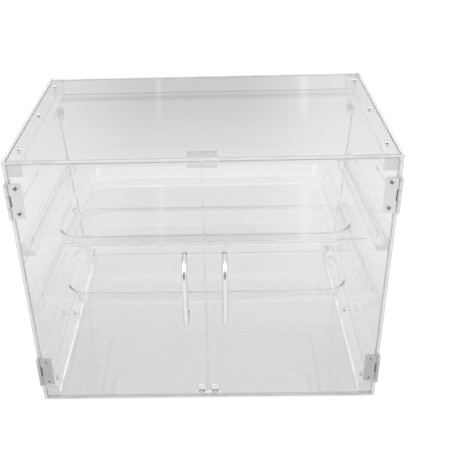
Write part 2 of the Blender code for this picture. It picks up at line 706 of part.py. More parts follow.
def build_stop_and_catch(datum, materials):
    """Door stop bonded under the top panel, and the catch block with its two magnets on the floor."""
    front = DOOR_SHEET + SEAT_GAP
    ceiling = TOP_UNDERSIDE - SEAT_GAP
    half = STOP_WIDTH / 2
    stop = block((-half, half), (front, front + STOP_DEPTH), (ceiling - STOP_HEIGHT, ceiling), EDGE_EASE)
    place("door_stop", stop, materials["clear_bar"], datum)
    half = CATCH_WIDTH / 2
    front += STRIKE_PLATE_THICKNESS + SEAT_GAP
    low = SHEET + SEAT_GAP
    catch = block((-half, half), (front, front + CATCH_DEPTH), (low, low + CATCH_HEIGHT), EDGE_EASE)
    wide, tall = MAGNET_WIDTH / 2, MAGNET_HEIGHT / 2
    magnet = block((-wide, wide), (0.0, CATCH_DEPTH), (-tall, tall), MAGNET_EASE)
    wide, tall = wide + HOLE_CLEARANCE, tall + HOLE_CLEARANCE
    slots = []
    for word, side in SIDES.items():
        middle, height = side * MAGNET_SPACING / 2, magnet_height()
        x_range, z_range = (middle - wide, middle + wide), (height - tall, height + tall)
        slots.append(block(x_range, (front - OVERRUN, front + CATCH_DEPTH + OVERRUN), z_range))
        place(f"catch_magnet_{word}", magnet, materials["magnet_nickel"], datum, (middle, front, height))
    place("catch_block", carve(catch, slots), materials["clear_bar"], datum)


def build_feet(datum, materials):
    """Bumper feet under the floor panel's corners, flat where they stand."""
    profile = [(0.0, -FOOT_HEIGHT), (FOOT_BASE_RADIUS, -FOOT_HEIGHT)]
    rise = FOOT_HEIGHT - SEAT_GAP
    slump = FOOT_RADIUS - FOOT_BASE_RADIUS
    for step in range(1, DOME_STEPS + 1):
        angle = math.radians(90) * step / DOME_STEPS
        radius = FOOT_BASE_RADIUS + slump * math.sin(angle)
        profile.append((radius, -FOOT_HEIGHT + rise * (1 - math.cos(angle))))
    profile.append((0.0, -SEAT_GAP))
    foot = turned(profile, (0, 0, 0), (0, 0, 1), ROUND_STEPS)
    depths = {"front": FOOT_END_INSET, "rear": customer_outer(0.0) - FOOT_END_INSET}
    for word, side in SIDES.items():
        for position, depth in depths.items():
            at = (side * (CASE_WIDTH / 2 - FOOT_SIDE_INSET), depth, 0.0)
            place(f"foot_{position}_{word}", foot, materials["foot_clear"], datum, at)


def main():
    clear_scene()
    materials = make_materials()
    middle = (BASE_DEPTH - HANDLE_PROJECTION) / 2
    datum = guide("case_datum", None, (0.0, -middle, FOOT_HEIGHT))
    build_side_panels(datum, materials)
    build_top_and_floor(datum, materials)
    build_customer_panel(datum, materials)
    build_bars(datum, materials)
    build_bar_screws(datum, materials)
    build_fixing_blocks(datum, materials)
    build_shelves(datum, materials)
    build_doors(datum, materials)
    build_stop_and_catch(datum, materials)
    build_feet(datum, materials)


main()
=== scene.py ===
import math

import bpy
import numpy as np
from mathutils import Matrix, Vector


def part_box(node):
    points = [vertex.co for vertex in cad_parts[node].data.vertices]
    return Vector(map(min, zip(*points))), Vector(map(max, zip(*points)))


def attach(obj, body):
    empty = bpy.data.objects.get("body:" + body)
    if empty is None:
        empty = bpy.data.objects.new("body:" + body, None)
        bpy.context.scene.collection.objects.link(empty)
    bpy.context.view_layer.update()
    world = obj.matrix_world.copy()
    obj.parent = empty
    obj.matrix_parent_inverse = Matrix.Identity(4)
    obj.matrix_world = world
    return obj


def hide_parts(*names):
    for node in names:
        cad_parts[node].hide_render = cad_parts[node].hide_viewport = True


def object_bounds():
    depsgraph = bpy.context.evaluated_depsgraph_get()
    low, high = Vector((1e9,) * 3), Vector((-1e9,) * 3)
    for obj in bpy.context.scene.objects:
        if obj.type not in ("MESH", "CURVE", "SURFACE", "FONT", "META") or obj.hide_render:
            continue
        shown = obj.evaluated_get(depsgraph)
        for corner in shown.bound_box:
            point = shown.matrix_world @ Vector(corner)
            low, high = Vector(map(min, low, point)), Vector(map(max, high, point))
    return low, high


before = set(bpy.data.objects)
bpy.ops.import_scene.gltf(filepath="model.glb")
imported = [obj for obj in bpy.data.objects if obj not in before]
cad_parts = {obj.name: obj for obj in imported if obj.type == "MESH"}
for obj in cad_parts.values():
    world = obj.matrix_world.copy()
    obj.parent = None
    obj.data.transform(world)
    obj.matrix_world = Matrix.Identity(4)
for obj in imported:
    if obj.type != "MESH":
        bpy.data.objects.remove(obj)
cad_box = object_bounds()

# View and studio: the photograph is taken from above the doors, a little to the right of the middle.
# The case stands on a white table in a white room, between soft lamps. Past the table's front edge the
# room is dark, and bright metal shows that. Light crosses many clear faces, so it is followed far.
CAMERA_AT = (0.0216, -1.0615, 0.8220)
CAMERA_YAW, CAMERA_PITCH, CAMERA_ROLL = (math.radians(angle) for angle in (-1.335, 30.681, -1.610))
CAMERA_LENS = 54.78
CAMERA_SHIFT = 0.0638
TABLE_HALF = 4.0
TABLE_LEVEL = -0.0003
TABLE_COLOUR = (0.93, 0.93, 0.93, 1.0)
WHITE = (1.0, 1.0, 1.0, 1.0)
LOOKED_AT_SHARE, LOOKED_AT_TONE = 0.86, 1.07
THROUGH_SHARE = 0.80
# Tones of the table seen through the case: the grey under the case is a painted shadow.
TABLE_TONES = ((-0.05, 0.80), (0.30, 0.94), (0.60, 0.93), (0.85, 0.81), (1.15, 0.725), (1.60, 0.70))
TABLE_LEFT_SHARE, TABLE_RIGHT_SHARE = 0.97, 1.03
TABLE_SIDE = 0.6
# Mirrored table: a painted shadow patch in front of each side of the case, and a dark end.
MIRRORED_TONE, FRONT_SHADOW_TONE = 1.00, 0.56
FRONT_MIDDLE, FRONT_HALF, FRONT_SOFT = -0.27, 0.10, 0.06
FRONT_SIDE, FRONT_SIDE_HALF, FRONT_SIDE_SOFT = 0.25, 0.12, 0.06
TABLE_END, TABLE_END_SOFT, TABLE_END_TONE = -1.15, 0.10, 0.10
ROOM_LEVEL = 0.90
WALL_TONE, CEILING_TONE = 0.92, 1.50
CEILING_START, CEILING_FULL = 0.42, 0.56
WALL_LEFT_SHARE, WALL_RIGHT_SHARE = 0.93, 1.03
WALL_SIDE = 0.5
DARK_SIDE = (0.0, -0.866, 0.5)
DARK_START, DARK_FULL = 0.72, 0.84
DARK_TONE = 0.20
BACK_TONE = 0.50
BACK_MIDDLE, BACK_HALF, BACK_EDGE = -0.03, 0.05, 0.20
BACK_LOW, BACK_HIGH = 0.34, 0.50
STRIPS = ((-0.080, 0.006), (0.118, 0.011))
STRIP_LOW, STRIP_HIGH = 0.345, 0.375
STRIP_TONE = 1.20
LIGHT_STEPS = 48
LAMPS = {
    "left_lamp": ((-1.5, -0.9, 1.7), 1.2, 10.0),
    "right_lamp": ((1.6, -0.5, 1.8), 1.2, 9.0),
    "overhead_lamp": ((0.0, 0.2, 2.2), 1.0, 5.0),
}


class Graph:
    """Node tree with one method for any node: its settings go in first, then its sockets."""

    def __init__(self, tree):
        self.tree = tree

    def node(self, kind, settings=None, sockets=None, output=0):
        """Add a node, and hand back one of its outputs as a value to reckon with."""
        made = self.tree.nodes.new(kind)
        for name, value in (settings or {}).items():
            setattr(made, name, value)
        for place, value in (sockets or {}).items():
            self.join(made.inputs[place], value)
        return Value(self, made.outputs[output]) if made.outputs else None

    def join(self, socket, value):
        """Link a value to a socket, or set a plain number or colour on it."""
        if isinstance(value, Value):
            self.tree.links.new(value.socket, socket)
        else:
            socket.default_value = value


class Value:
    """A number that varies over a surface; the operators on it add Math nodes."""

    def __init__(self, graph, socket):
        self.graph = graph
        self.socket = socket

    def reckon(self, operation, *values, clamp=False):
        """One Math node on the given values."""
        settings = {"operation": operation, "use_clamp": clamp}
        return self.graph.node("ShaderNodeMath", settings, dict(enumerate(values)))

    def __add__(self, other):
        return self.reckon("ADD", self, other)

    def __sub__(self, other):
        return self.reckon("SUBTRACT", self, other)

    def __rsub__(self, other):
        return self.reckon("SUBTRACT", other, self)

    def __mul__(self, other):
        return self.reckon("MULTIPLY", self, other)

    def __lt__(self, other):
        return self.reckon("LESS_THAN", self, other)

    def __abs__(self):
        return self.reckon("ABSOLUTE", self)

    def held(self):
        """The value kept between 0 and 1."""
        return self.reckon("ADD", self, 0.0, clamp=True)

    def between(self, start, end, first, last):
        """A smooth change from the first to the last number, as the value goes from start to end."""
        settings = {"interpolation_type": "SMOOTHSTEP"}
        sockets = {"Value": self, "From Min": start, "From Max": end, "To Min": first, "To Max": last}
        return self.graph.node("ShaderNodeMapRange", settings, sockets)


def add_camera():
    """Camera turned by its yaw, pitch and roll from a level look along +Y."""
    forward = np.array([
        math.sin(CAMERA_YAW) * math.cos(CAMERA_PITCH),
        math.cos(CAMERA_YAW) * math.cos(CAMERA_PITCH),
        -math.sin(CAMERA_PITCH),
    ])
    level = np.array([math.cos(CAMERA_YAW), -math.sin(CAMERA_YAW), 0.0])
    upright = np.cross(level, forward)
    right = math.cos(CAMERA_ROLL) * level + math.sin(CAMERA_ROLL) * upright
    up = -math.sin(CAMERA_ROLL) * level + math.cos(CAMERA_ROLL) * upright
    lens = bpy.data.cameras.new("camera")
    lens.lens = CAMERA_LENS
    lens.shift_x = CAMERA_SHIFT
    camera = bpy.data.objects.new("camera", lens)
    turn = Matrix(np.column_stack([right, up, -forward]).tolist()).to_4x4()
    camera.matrix_world = Matrix.Translation(CAMERA_AT) @ turn
    bpy.context.scene.collection.objects.link(camera)
    bpy.context.scene.camera = camera


def looks(graph):
    """Three values, each 1 for its rays: from the camera, from a mirror, and through a clear piece."""
    rays = "ShaderNodeLightPath"
    from_camera = graph.node(rays, output="Is Camera Ray")
    glossy = graph.node(rays, output="Is Glossy Ray")
    through = graph.node(rays, output="Is Transmission Ray")
    return from_camera, (glossy - through - from_camera).held(), (through - from_camera).held()


def add_table():
    """White table: plain white where it is looked at, with a share that takes the case's shadow.

    Seen through the case it is palest just behind it, greyer under it, where the case's shadow is painted,
    and greyer far away. Mirrored, it has a painted shadow of each side of the case on the table just in
    front of it, and a dark end.
    """
    mesh = bpy.data.meshes.new("table")
    ways = [(-1, -1), (1, -1), (1, 1), (-1, 1)]
    mesh.from_pydata([(x * TABLE_HALF, y * TABLE_HALF, TABLE_LEVEL) for x, y in ways], [], [(0, 1, 2, 3)])
    table = bpy.data.objects.new("table", mesh)
    bpy.context.scene.collection.objects.link(table)
    material = bpy.data.materials.new("table_white")
    material.use_nodes = True
    material.node_tree.nodes.clear()
    graph = Graph(material.node_tree)
    matt = graph.node("ShaderNodeBsdfDiffuse", None, {"Color": TABLE_COLOUR})
    from_camera, mirrored, through = looks(graph)
    place = graph.node("ShaderNodeTexCoord", None, None, "Object")
    depth = graph.node("ShaderNodeSeparateXYZ", None, {0: place}, "Y")
    tone = TABLE_TONES[0][1]
    for (start, before), (end, after) in zip(TABLE_TONES, TABLE_TONES[1:]):
        tone = depth.between(start, end, 0.0, after - before) + tone
    across = graph.node("ShaderNodeSeparateXYZ", None, {0: place}, "X")
    tone = tone * across.between(-TABLE_SIDE, TABLE_SIDE, TABLE_LEFT_SHARE, TABLE_RIGHT_SHARE)
    # Painted shadow of each side of the case on the table just in front of it, seen only in mirrors.
    near = abs(depth - FRONT_MIDDLE).between(FRONT_HALF - FRONT_SOFT, FRONT_HALF, 1.0, 0.0)
    beside = abs(abs(across) - FRONT_SIDE)
    beside = beside.between(FRONT_SIDE_HALF - FRONT_SIDE_SOFT, FRONT_SIDE_HALF, 1.0, 0.0)
    front = 1 - near * beside * (1 - FRONT_SHADOW_TONE)
    front = front * depth.between(TABLE_END - TABLE_END_SOFT, TABLE_END, TABLE_END_TONE, 1.0)
    strength = from_camera * LOOKED_AT_TONE + through * tone + mirrored * front * MIRRORED_TONE
    white = graph.node("ShaderNodeEmission", None, {"Color": WHITE, "Strength": strength})
    share = from_camera * LOOKED_AT_SHARE + (through + mirrored) * THROUGH_SHARE
    both = graph.node("ShaderNodeMixShader", None, {0: share, 1: matt, 2: white})
    graph.node("ShaderNodeOutputMaterial", None, {"Surface": both})
    mesh.materials.append(material)


def add_room():
    """Room: pale walls, a bright ceiling, a side behind the camera that mirrors dark, plain soft light.

    Behind the case the wall is grey near the table, with two narrow bright strips low down.
    """
    world = bpy.data.worlds.new("room")
    world.use_nodes = True
    world.node_tree.nodes.clear()
    bpy.context.scene.world = world
    graph = Graph(world.node_tree)
    direction = graph.node("ShaderNodeTexCoord", None, None, "Generated")
    height = graph.node("ShaderNodeSeparateXYZ", None, {0: direction}, "Z")
    tone = height.between(CEILING_START, CEILING_FULL, WALL_TONE, CEILING_TONE)
    sockets = {0: direction, 1: DARK_SIDE}
    facing = graph.node("ShaderNodeVectorMath", {"operation": "DOT_PRODUCT"}, sockets, "Value")
    dark = facing.between(DARK_START, DARK_FULL, 1.0, DARK_TONE)
    across = graph.node("ShaderNodeSeparateXYZ", None, {0: direction}, "X")
    tone = tone * across.between(-WALL_SIDE, WALL_SIDE, WALL_LEFT_SHARE, WALL_RIGHT_SHARE)
    behind = 1 - (graph.node("ShaderNodeSeparateXYZ", None, {0: direction}, "Y") < 0.0)
    grey = abs(across - BACK_MIDDLE).between(BACK_HALF, BACK_EDGE, 1 - BACK_TONE, 0.0) * behind
    tone = tone * (1 - grey * height.between(BACK_LOW, BACK_HIGH, 1.0, 0.0))
    low_down = behind * height.between(STRIP_LOW, STRIP_HIGH, STRIP_TONE - WALL_TONE, 0.0)
    for middle, half in STRIPS:
        tone = tone + abs(across - middle).between(0.0, half, 1.0, 0.0) * low_down
    from_camera, mirrored, through = looks(graph)
    seen = from_camera + (mirrored * dark + through) * tone
    strength = seen + (1 - from_camera - mirrored - through) * ROOM_LEVEL
    light = graph.node("ShaderNodeBackground", None, {"Color": WHITE, "Strength": strength})
    graph.node("ShaderNodeOutputWorld", None, {"Surface": light})


def add_lamps():
    """Square soft lamps that face the middle of the case."""
    for name, (place, size, power) in LAMPS.items():
        data = bpy.data.lights.new(name, "AREA")
        data.size = size
        data.energy = power
        lamp = bpy.data.objects.new(name, data)
        aim = Vector((0.0, 0.0, cad_box[1].z / 2)) - Vector(place)
        lamp.rotation_euler = aim.to_track_quat("-Z", "Y").to_euler()
        lamp.location = place
        bpy.context.scene.collection.objects.link(lamp)


def follow_light_further():
    """Let light cross all the clear faces of the case before it is given up."""
    path = bpy.context.scene.cycles
    path.max_bounces = LIGHT_STEPS
    path.glossy_bounces = LIGHT_STEPS
    path.transmission_bounces = LIGHT_STEPS
    path.transparent_max_bounces = LIGHT_STEPS


add_camera()
add_table()
add_room()
add_lamps()
follow_light_further()
bpy.context.scene.view_settings.view_transform = "Standard"

# Shell: two side panels, the top, the floor and the bent customer panel, sawn from 5 mm clear acrylic.
# Screws through the top and floor hold them to the corner bars. Their faces carry faint wiping marks,
# and their sawn and polished edges are paler. Along the heated bend a highlight is painted as a pale line,
# with a painted dark reflection as a band below it.
CLEAR_IOR = 1.49
SHEET_TINT = (0.952, 0.952, 0.952)
WIPED_TINT = (0.928, 0.928, 0.928)
EDGE_COLOUR = (0.93, 0.93, 0.93)
EDGE_SHARE = 0.55
EDGE_ROUGHNESS = 0.25
EDGE_TURN = 0.5
# The arrises get a painted dark reflection: a grey share of the sawn finish.
ARRIS_SHADE_COLOUR = (0.42, 0.42, 0.42)
ARRIS_SHARE = 0.40
ARRIS_TURN = 0.9
WIPE_SCALE = 9.0
WIPE_STRETCH = (1.0, 1.0, 0.22)
WIPE_DETAIL = 3.0
WIPE_ROUGHNESS = 0.025
SAWN_ROUGHNESS = 0.35
# The bend's pale line is a painted highlight, and the darker band below it is a painted dark reflection.
BEND_HEIGHT = 0.3982
BEND_HIGHLIGHT_HALF = 0.0011
BEND_SHADE_HEIGHT = 0.3895
BEND_SHADE_HALF = 0.0080
BEND_HIGHLIGHT_SHARE = 0.80
BEND_SHADE = (0.72, 0.72, 0.72)
AXES = {"X": (1.0, 0.0, 0.0), "Y": (0.0, 1.0, 0.0), "Z": (0.0, 0.0, 1.0)}


def start_finish(name, roughness, metallic=0.0, transmission=0.0, ior=1.5):
    """Material with a Principled shader: constants go on its own sockets."""
    material = bpy.data.materials.new(name)
    material.use_nodes = True
    graph = Graph(material.node_tree)
    shader = material.node_tree.nodes["Principled BSDF"]
    shader.inputs["Roughness"].default_value = roughness
    shader.inputs["Metallic"].default_value = metallic
    shader.inputs["Transmission Weight"].default_value = transmission
    shader.inputs["IOR"].default_value = ior
    return material, graph, shader


def clouds(graph, scale, stretch=(1.0, 1.0, 1.0), detail=2.0):
    """Soft noise between 0 and 1, stretched along the object's own axes."""
    place = graph.node("ShaderNodeTexCoord", None, None, "Object")
    place = graph.node("ShaderNodeMapping", None, {"Vector": place, "Scale": stretch})
    return graph.node("ShaderNodeTexNoise", None, {"Vector": place, "Scale": scale, "Detail": detail})


def blend_colours(graph, share, first, second):
    """Colour that goes from the first to the second as the share goes from 0 to 1."""
    settings = {"data_type": "RGBA", "blend_type": "MIX"}
    colours = [colour if isinstance(colour, Value) else (*colour, 1.0) for colour in (first, second)]
    return graph.node("ShaderNodeMix", settings, {0: share, 6: colours[0], 7: colours[1]}, 2)


def height_band(graph, middle, half):
    """1 at a height of the object, falling to 0 at half a band's width above and below it."""
    place = graph.node("ShaderNodeTexCoord", None, None, "Object")
    height = graph.node("ShaderNodeSeparateXYZ", None, {0: place}, "Z")
    return (1 - abs(height - middle) * (1 / half)).held()


def clear_finish(name, face_axis, bent=False):
    """Clear sheet: wiping marks on its faces, paler edges, painted dark reflections on the arrises, and
    along a bend a painted highlight with a painted dark reflection below it.
    """
    material, graph, shader = start_finish(name, 0.0, transmission=1.0, ior=CLEAR_IOR)
    wiped = clouds(graph, WIPE_SCALE, WIPE_STRETCH, WIPE_DETAIL)
    colour = blend_colours(graph, wiped, SHEET_TINT, WIPED_TINT)
    facing = graph.node("ShaderNodeTexCoord", None, None, "Normal")
    sockets = {0: facing, 1: AXES[face_axis]}
    along = abs(graph.node("ShaderNodeVectorMath", {"operation": "DOT_PRODUCT"}, sockets, "Value"))
    edge = along < EDGE_TURN
    arris = (along < ARRIS_TURN) - edge
    pale = edge * EDGE_SHARE + arris * ARRIS_SHARE
    edge_colour = blend_colours(graph, arris, EDGE_COLOUR, ARRIS_SHADE_COLOUR)
    if bent:
        # Painted highlight along the bend, and a painted dark reflection in the band below it.
        pale = (pale + height_band(graph, BEND_HEIGHT, BEND_HIGHLIGHT_HALF) * BEND_HIGHLIGHT_SHARE).held()
        shade = height_band(graph, BEND_SHADE_HEIGHT, BEND_SHADE_HALF)
        colour = blend_colours(graph, shade, colour, BEND_SHADE)
    graph.join(shader.inputs["Base Color"], colour)
    graph.join(shader.inputs["Roughness"], wiped * WIPE_ROUGHNESS + edge * EDGE_ROUGHNESS)
    sockets = {"Base Color": edge_colour, "Roughness": SAWN_ROUGHNESS}
    sawn = graph.node("ShaderNodeBsdfPrincipled", None, sockets)
    clear = Value(graph, shader.outputs[0])
    both = graph.node("ShaderNodeMixShader", None, {0: pale, 1: clear, 2: sawn})
    graph.join(material.node_tree.nodes["Material Output"].inputs["Surface"], both)
    return material


def dress(node_name, material):
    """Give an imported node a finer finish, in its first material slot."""
    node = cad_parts[node_name]
    node.material_slots[0].material = material


side_sheet = clear_finish("side_sheet", "X")
flat_sheet = clear_finish("flat_sheet", "Z")
bent_sheet = clear_finish("bent_sheet", "Y", bent=True)
dress("side_panel_left", side_sheet)
dress("side_panel_right", side_sheet)
dress("top_panel", flat_sheet)
dress("floor_panel", flat_sheet)
dress("customer_panel", bent_sheet)

# Corner bars: square clear acrylic, sawn to length and drilled and tapped from outside. They run along
# the top and bottom corners, and hold the shell together. Their faces are as drawn, with faint lines
# along them, and the sawn ends are frosted.
BAR_TINT = (0.995, 0.995, 0.995)
BAR_LINE_TINT = (0.980, 0.980, 0.980)
BAR_LINE_SCALE = 160.0
BAR_LINE_STRETCH = (1.0, 0.03, 1.0)
BAR_LINE_ROUGHNESS = 0.03
BAR_END_ROUGHNESS = 0.30


def bar_material():
    """Clear bar along Y: lines along its faces, and frosted ends that face the doors and the customer."""
    material, graph, shader = start_finish("corner_bar", 0.0, transmission=1.0, ior=CLEAR_IOR)
    lines = clouds(graph, BAR_LINE_SCALE, BAR_LINE_STRETCH)
    graph.join(shader.inputs["Base Color"], blend_colours(graph, lines, BAR_TINT, BAR_LINE_TINT))
    facing = graph.node("ShaderNodeTexCoord", None, None, "Normal")
    end = 1 - (abs(graph.node("ShaderNodeSeparateXYZ", None, {0: facing}, "Y")) < EDGE_TURN)
    graph.join(shader.inputs["Roughness"], lines * BAR_LINE_ROUGHNESS + end * BAR_END_ROUGHNESS)
    return material


bar_finish = bar_material()
for side in ("left", "right"):
    dress(f"top_bar_{side}", bar_finish)
    dress(f"bottom_bar_{side}", bar_finish)

# Panel screws: six round-head steel screws go down through the top, and six go up through the floor,
# into the corner bars. Each has a cross-shaped drive, and its thread shows through the clear bar.
SCREW_COLOUR = (0.78, 0.78, 0.78)
# Painted shade: the colour of the hollow of each screw's drive.
SCREW_HOLLOW_SHADE = (0.10, 0.10, 0.10)
SCREW_ROUGHNESS = 0.22
SCREW_AROUND = 32
SCREW_HEAD_ROWS = 14
THREAD_PITCH = 0.0009
THREAD_ROWS_PER_TURN = 5
THREAD_DEPTH = 0.0004
TIP_SHARE = 0.35
RIM_SHARE = 0.22
DRIVE_DEPTH_SHARE = 0.62
DRIVE_RISE_SHARE = 0.5
DRIVE_ARM_SHARE = 0.60
DRIVE_WIDTH_SHARE = 0.15
DRIVE_EASE_SHARE = 0.07
DRIVE_TURN_STEP = math.radians(37.0)
SCREW_GRAIN_SCALE = 900.0
GRAIN_DETAIL = 4.0
GRAIN_HEIGHT = 0.0001
TARNISH_SHARE = 0.82
LEAST_ROUGHNESS_SHARE, ROUGHNESS_SPREAD = 0.75, 0.5
EVEN = (1.0, 1.0, 1.0)
SHARP_ANGLE = math.radians(40.0)
PANEL_HEAD_RADIUS = 0.0040
PANEL_HEAD_HEIGHT = 0.0024
PANEL_SHANK_RADIUS = 0.0020
PANEL_SHANK = 0.0173


def closed_skin(rings, marks=None):
    """Surface through rings of points, closed at the first and last ring, which are single points.

    Row v and place u of the grid make one corner. The faces are turned round if the volume inside them
    comes out negative, so that they point outwards. Marks are numbers carried by the same grid.
    """
    inner = rings[1:-1]
    rows, around = inner.shape[:2]
    points = np.concatenate([rings[:1, 0], inner.reshape(-1, 3), rings[-1:, 0]])
    grid = 1 + np.arange(rows * around).reshape(rows, around)
    ahead = np.roll(grid, -1, axis=1)
    walls = np.stack([grid[:-1], ahead[:-1], ahead[1:], grid[1:]], axis=-1).reshape(-1, 4)
    start = np.stack([np.zeros(around, int), ahead[0], grid[0]], axis=-1)
    end = np.stack([np.full(around, len(points) - 1), grid[-1], ahead[-1]], axis=-1)
    triangles = np.concatenate([walls[:, :3], walls[:, [0, 2, 3]], start, end])
    first, second, third = (points[triangles[:, corner]] for corner in range(3))
    volume = np.einsum("ij,ij->i", first, np.cross(second, third)).sum()
    faces = walls.tolist() + start.tolist() + end.tolist()
    if volume < 0:
        faces = [face[::-1] for face in faces]
    if marks is None:
        marks = np.zeros(rings.shape[:2])
    marks = np.concatenate([marks[:1, 0], marks[1:-1].ravel(), marks[-1:, 0]])
    return points, faces, marks


def put_piece(name, skins, material, body, replaced=(), sharp=SHARP_ANGLE):
    """One object from closed skins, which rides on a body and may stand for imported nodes."""
    starts = np.cumsum([0] + [len(points) for points, _, _ in skins])
    points = np.concatenate([skin[0] for skin in skins])
    faces = [
        [corner + int(start) for corner in face]
        for start, (_, own_faces, _) in zip(starts, skins)
        for face in own_faces
    ]
    mesh = bpy.data.meshes.new(name)
    mesh.from_pydata(points.tolist(), [], faces)
    mesh.shade_smooth()
    mesh.set_sharp_from_angle(angle=sharp)
    mesh.attributes.new("hollow", "FLOAT", "POINT")
    marks = np.concatenate([skin[2] for skin in skins]).astype(np.float32)
    mesh.attributes["hollow"].data.foreach_set("value", marks)
    mesh.materials.append(material)
    piece = bpy.data.objects.new(name, mesh)
    bpy.context.scene.collection.objects.link(piece)
    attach(piece, body)
    if replaced:
        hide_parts(*replaced)


def turn_to(points, at, outward):
    """Carry points from a frame whose +Z is outward, and whose zero is at a place, to the case."""
    turn = np.array(Vector(outward).to_track_quat("Z", "Y").to_matrix())
    return points @ turn.T + np.array(at)


def screw_skin(head_radius, head_height, shank_radius, shank, at, outward, turn):
    """Round-head screw from its seat outwards, as rings from the tip of its shank to the head's middle.

    Shank: the radius falls below its full size by a triangle wave of (height / pitch - angle / full
    turn), which makes the thread. Head: a short rim, then an ellipse, less a cross-shaped hollow that
    is deepest in the middle.
    """
    angle = np.linspace(0.0, math.tau, SCREW_AROUND, endpoint=False)
    shank_rows = max(4, int(shank / THREAD_PITCH * THREAD_ROWS_PER_TURN))
    low = np.linspace(-shank, 0.0, shank_rows)[:, None]
    wave = np.abs((low / THREAD_PITCH - angle / math.tau) % 1.0 * 2.0 - 1.0)
    taper = np.clip((low + shank) / (2 * shank_radius), TIP_SHARE, 1.0)
    shank_radii = (shank_radius - THREAD_DEPTH * wave) * taper
    sweep = np.linspace(0.0, math.pi / 2, SCREW_HEAD_ROWS)[:, None]
    rim = head_height * RIM_SHARE
    head_radii = head_radius * np.cos(sweep) * np.ones_like(angle)
    head_heights = rim + (head_height - rim) * np.sin(sweep)
    across = head_radii * np.cos(angle + turn)
    over = head_radii * np.sin(angle + turn)
    arm, width = head_radius * DRIVE_ARM_SHARE, head_radius * DRIVE_WIDTH_SHARE
    ease = head_radius * DRIVE_EASE_SHARE
    arms = [
        np.clip((width - np.abs(b)) / ease, 0.0, 1.0) * np.clip((arm - np.abs(a)) / ease, 0.0, 1.0)
        for a, b in ((across, over), (over, across))
    ]
    hollow = np.maximum(*arms)
    depth = head_height * DRIVE_DEPTH_SHARE * (1.0 - DRIVE_RISE_SHARE * head_radii / head_radius)
    radii = np.concatenate([shank_radii, head_radii[:1], head_radii])
    seat = np.zeros_like(head_radii[:1])
    heights = np.concatenate([low * np.ones_like(angle), seat, head_heights - depth * hollow])
    marks = np.concatenate([np.zeros_like(shank_radii), seat, hollow])
    radii[-1] = 0.0
    heights[-1] = heights[-1, 0]
    tip = np.zeros((1, SCREW_AROUND, 3))
    tip[..., 2] = -shank
    rings = np.stack([radii * np.cos(angle), radii * np.sin(angle), heights], axis=-1)
    marks = np.concatenate([seat, marks])
    return closed_skin(turn_to(np.concatenate([tip, rings]), at, outward), marks)


def metal_finish(name, colour, hollow_shade_colour, roughness, scale, stretch, grain=0.0):
    """Metal whose tone and roughness vary along its grain, with painted shade where a drive is hollowed
    out.
    """
    material, graph, shader = start_finish(name, roughness, metallic=1.0)
    lines = clouds(graph, scale, stretch, GRAIN_DETAIL)
    tarnish = tuple(part * TARNISH_SHARE for part in colour)
    tone = blend_colours(graph, lines, colour, tarnish)
    hollow = graph.node("ShaderNodeAttribute", {"attribute_name": "hollow"}, None, "Fac")
    # Painted shade in the drive's hollow.
    graph.join(shader.inputs["Base Color"], blend_colours(graph, hollow, tone, hollow_shade_colour))
    spread = lines * roughness * ROUGHNESS_SPREAD
    graph.join(shader.inputs["Roughness"], spread + roughness * LEAST_ROUGHNESS_SHARE)
    if grain:
        sockets = {"Strength": grain, "Distance": GRAIN_HEIGHT, "Height": lines}
        graph.join(shader.inputs["Normal"], graph.node("ShaderNodeBump", None, sockets))
    return material


screw_finish = metal_finish(
    "screw_steel", SCREW_COLOUR, SCREW_HOLLOW_SHADE, SCREW_ROUGHNESS, SCREW_GRAIN_SCALE, EVEN)
panel_screws = [
    (row, position, side)
    for row in ("top", "floor")
    for side in ("left", "right")
    for position in ("front", "middle", "rear")
]
for count, (row, position, side) in enumerate(panel_screws):
    node_name = f"{row}_screw_{position}_{side}"
    low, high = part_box(node_name)
    middle = (low + high) / 2
    up = 1 if row == "top" else -1
    seat = high.z - PANEL_HEAD_HEIGHT if up > 0 else low.z + PANEL_HEAD_HEIGHT
    skin = screw_skin(PANEL_HEAD_RADIUS, PANEL_HEAD_HEIGHT, PANEL_SHANK_RADIUS, PANEL_SHANK,
                      (middle.x, middle.y, seat), (0, 0, up), count * DRIVE_TURN_STEP)
    name = f"{row}_{position}_panel_screw_{side}"
    put_piece(name, [skin], screw_finish, "case", [node_name])

# Fixing blocks and customer-panel screws: a small clear block is cemented into each upper corner of the
# customer panel. One screw on each side goes through the panel into it, and one into the bottom bar.
FIXING_HEAD_RADIUS = 0.0034
FIXING_HEAD_HEIGHT = 0.0020
FIXING_SHANK_RADIUS = 0.0016
FIXING_SHANK = 0.0130
FIXING_LIFT = 0.0001
FIXING_TURN = 9.0
PANEL_SET_BACK = 0.099
PANEL_LEAN_HEIGHT = 0.392
PANEL_LEAN = math.atan(PANEL_SET_BACK / PANEL_LEAN_HEIGHT)
PANEL_FOOT_Y = 0.2355
PANEL_FOOT_Z = 0.0050

for side in ("left", "right"):
    dress(f"fixing_block_{side}", bar_finish)
    for level, node_name in (("upper", f"fixing_block_{side}"), ("lower", f"bottom_bar_{side}")):
        low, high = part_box(node_name)
        middle = (low + high) / 2
        out = PANEL_FOOT_Y - math.tan(PANEL_LEAN) * (middle.z - PANEL_FOOT_Z)
        outward = (0.0, math.cos(PANEL_LEAN), math.sin(PANEL_LEAN))
        skin = screw_skin(FIXING_HEAD_RADIUS, FIXING_HEAD_HEIGHT, FIXING_SHANK_RADIUS, FIXING_SHANK,
                          (middle.x, out + FIXING_LIFT, middle.z), outward, middle.x * FIXING_TURN)
        put_piece(f"{level}_customer_panel_screw_{side}", [skin], screw_finish, "case")

# Runners: clear L-shaped rails, cemented to the side panels at a slope towards the customer. The ledge
# carries a tray, and the lip outside it keeps the tray in line.
for side in ("left", "right"):
    for level in ("upper", "lower"):
        dress(f"{level}_runner_{side}", bar_finish)

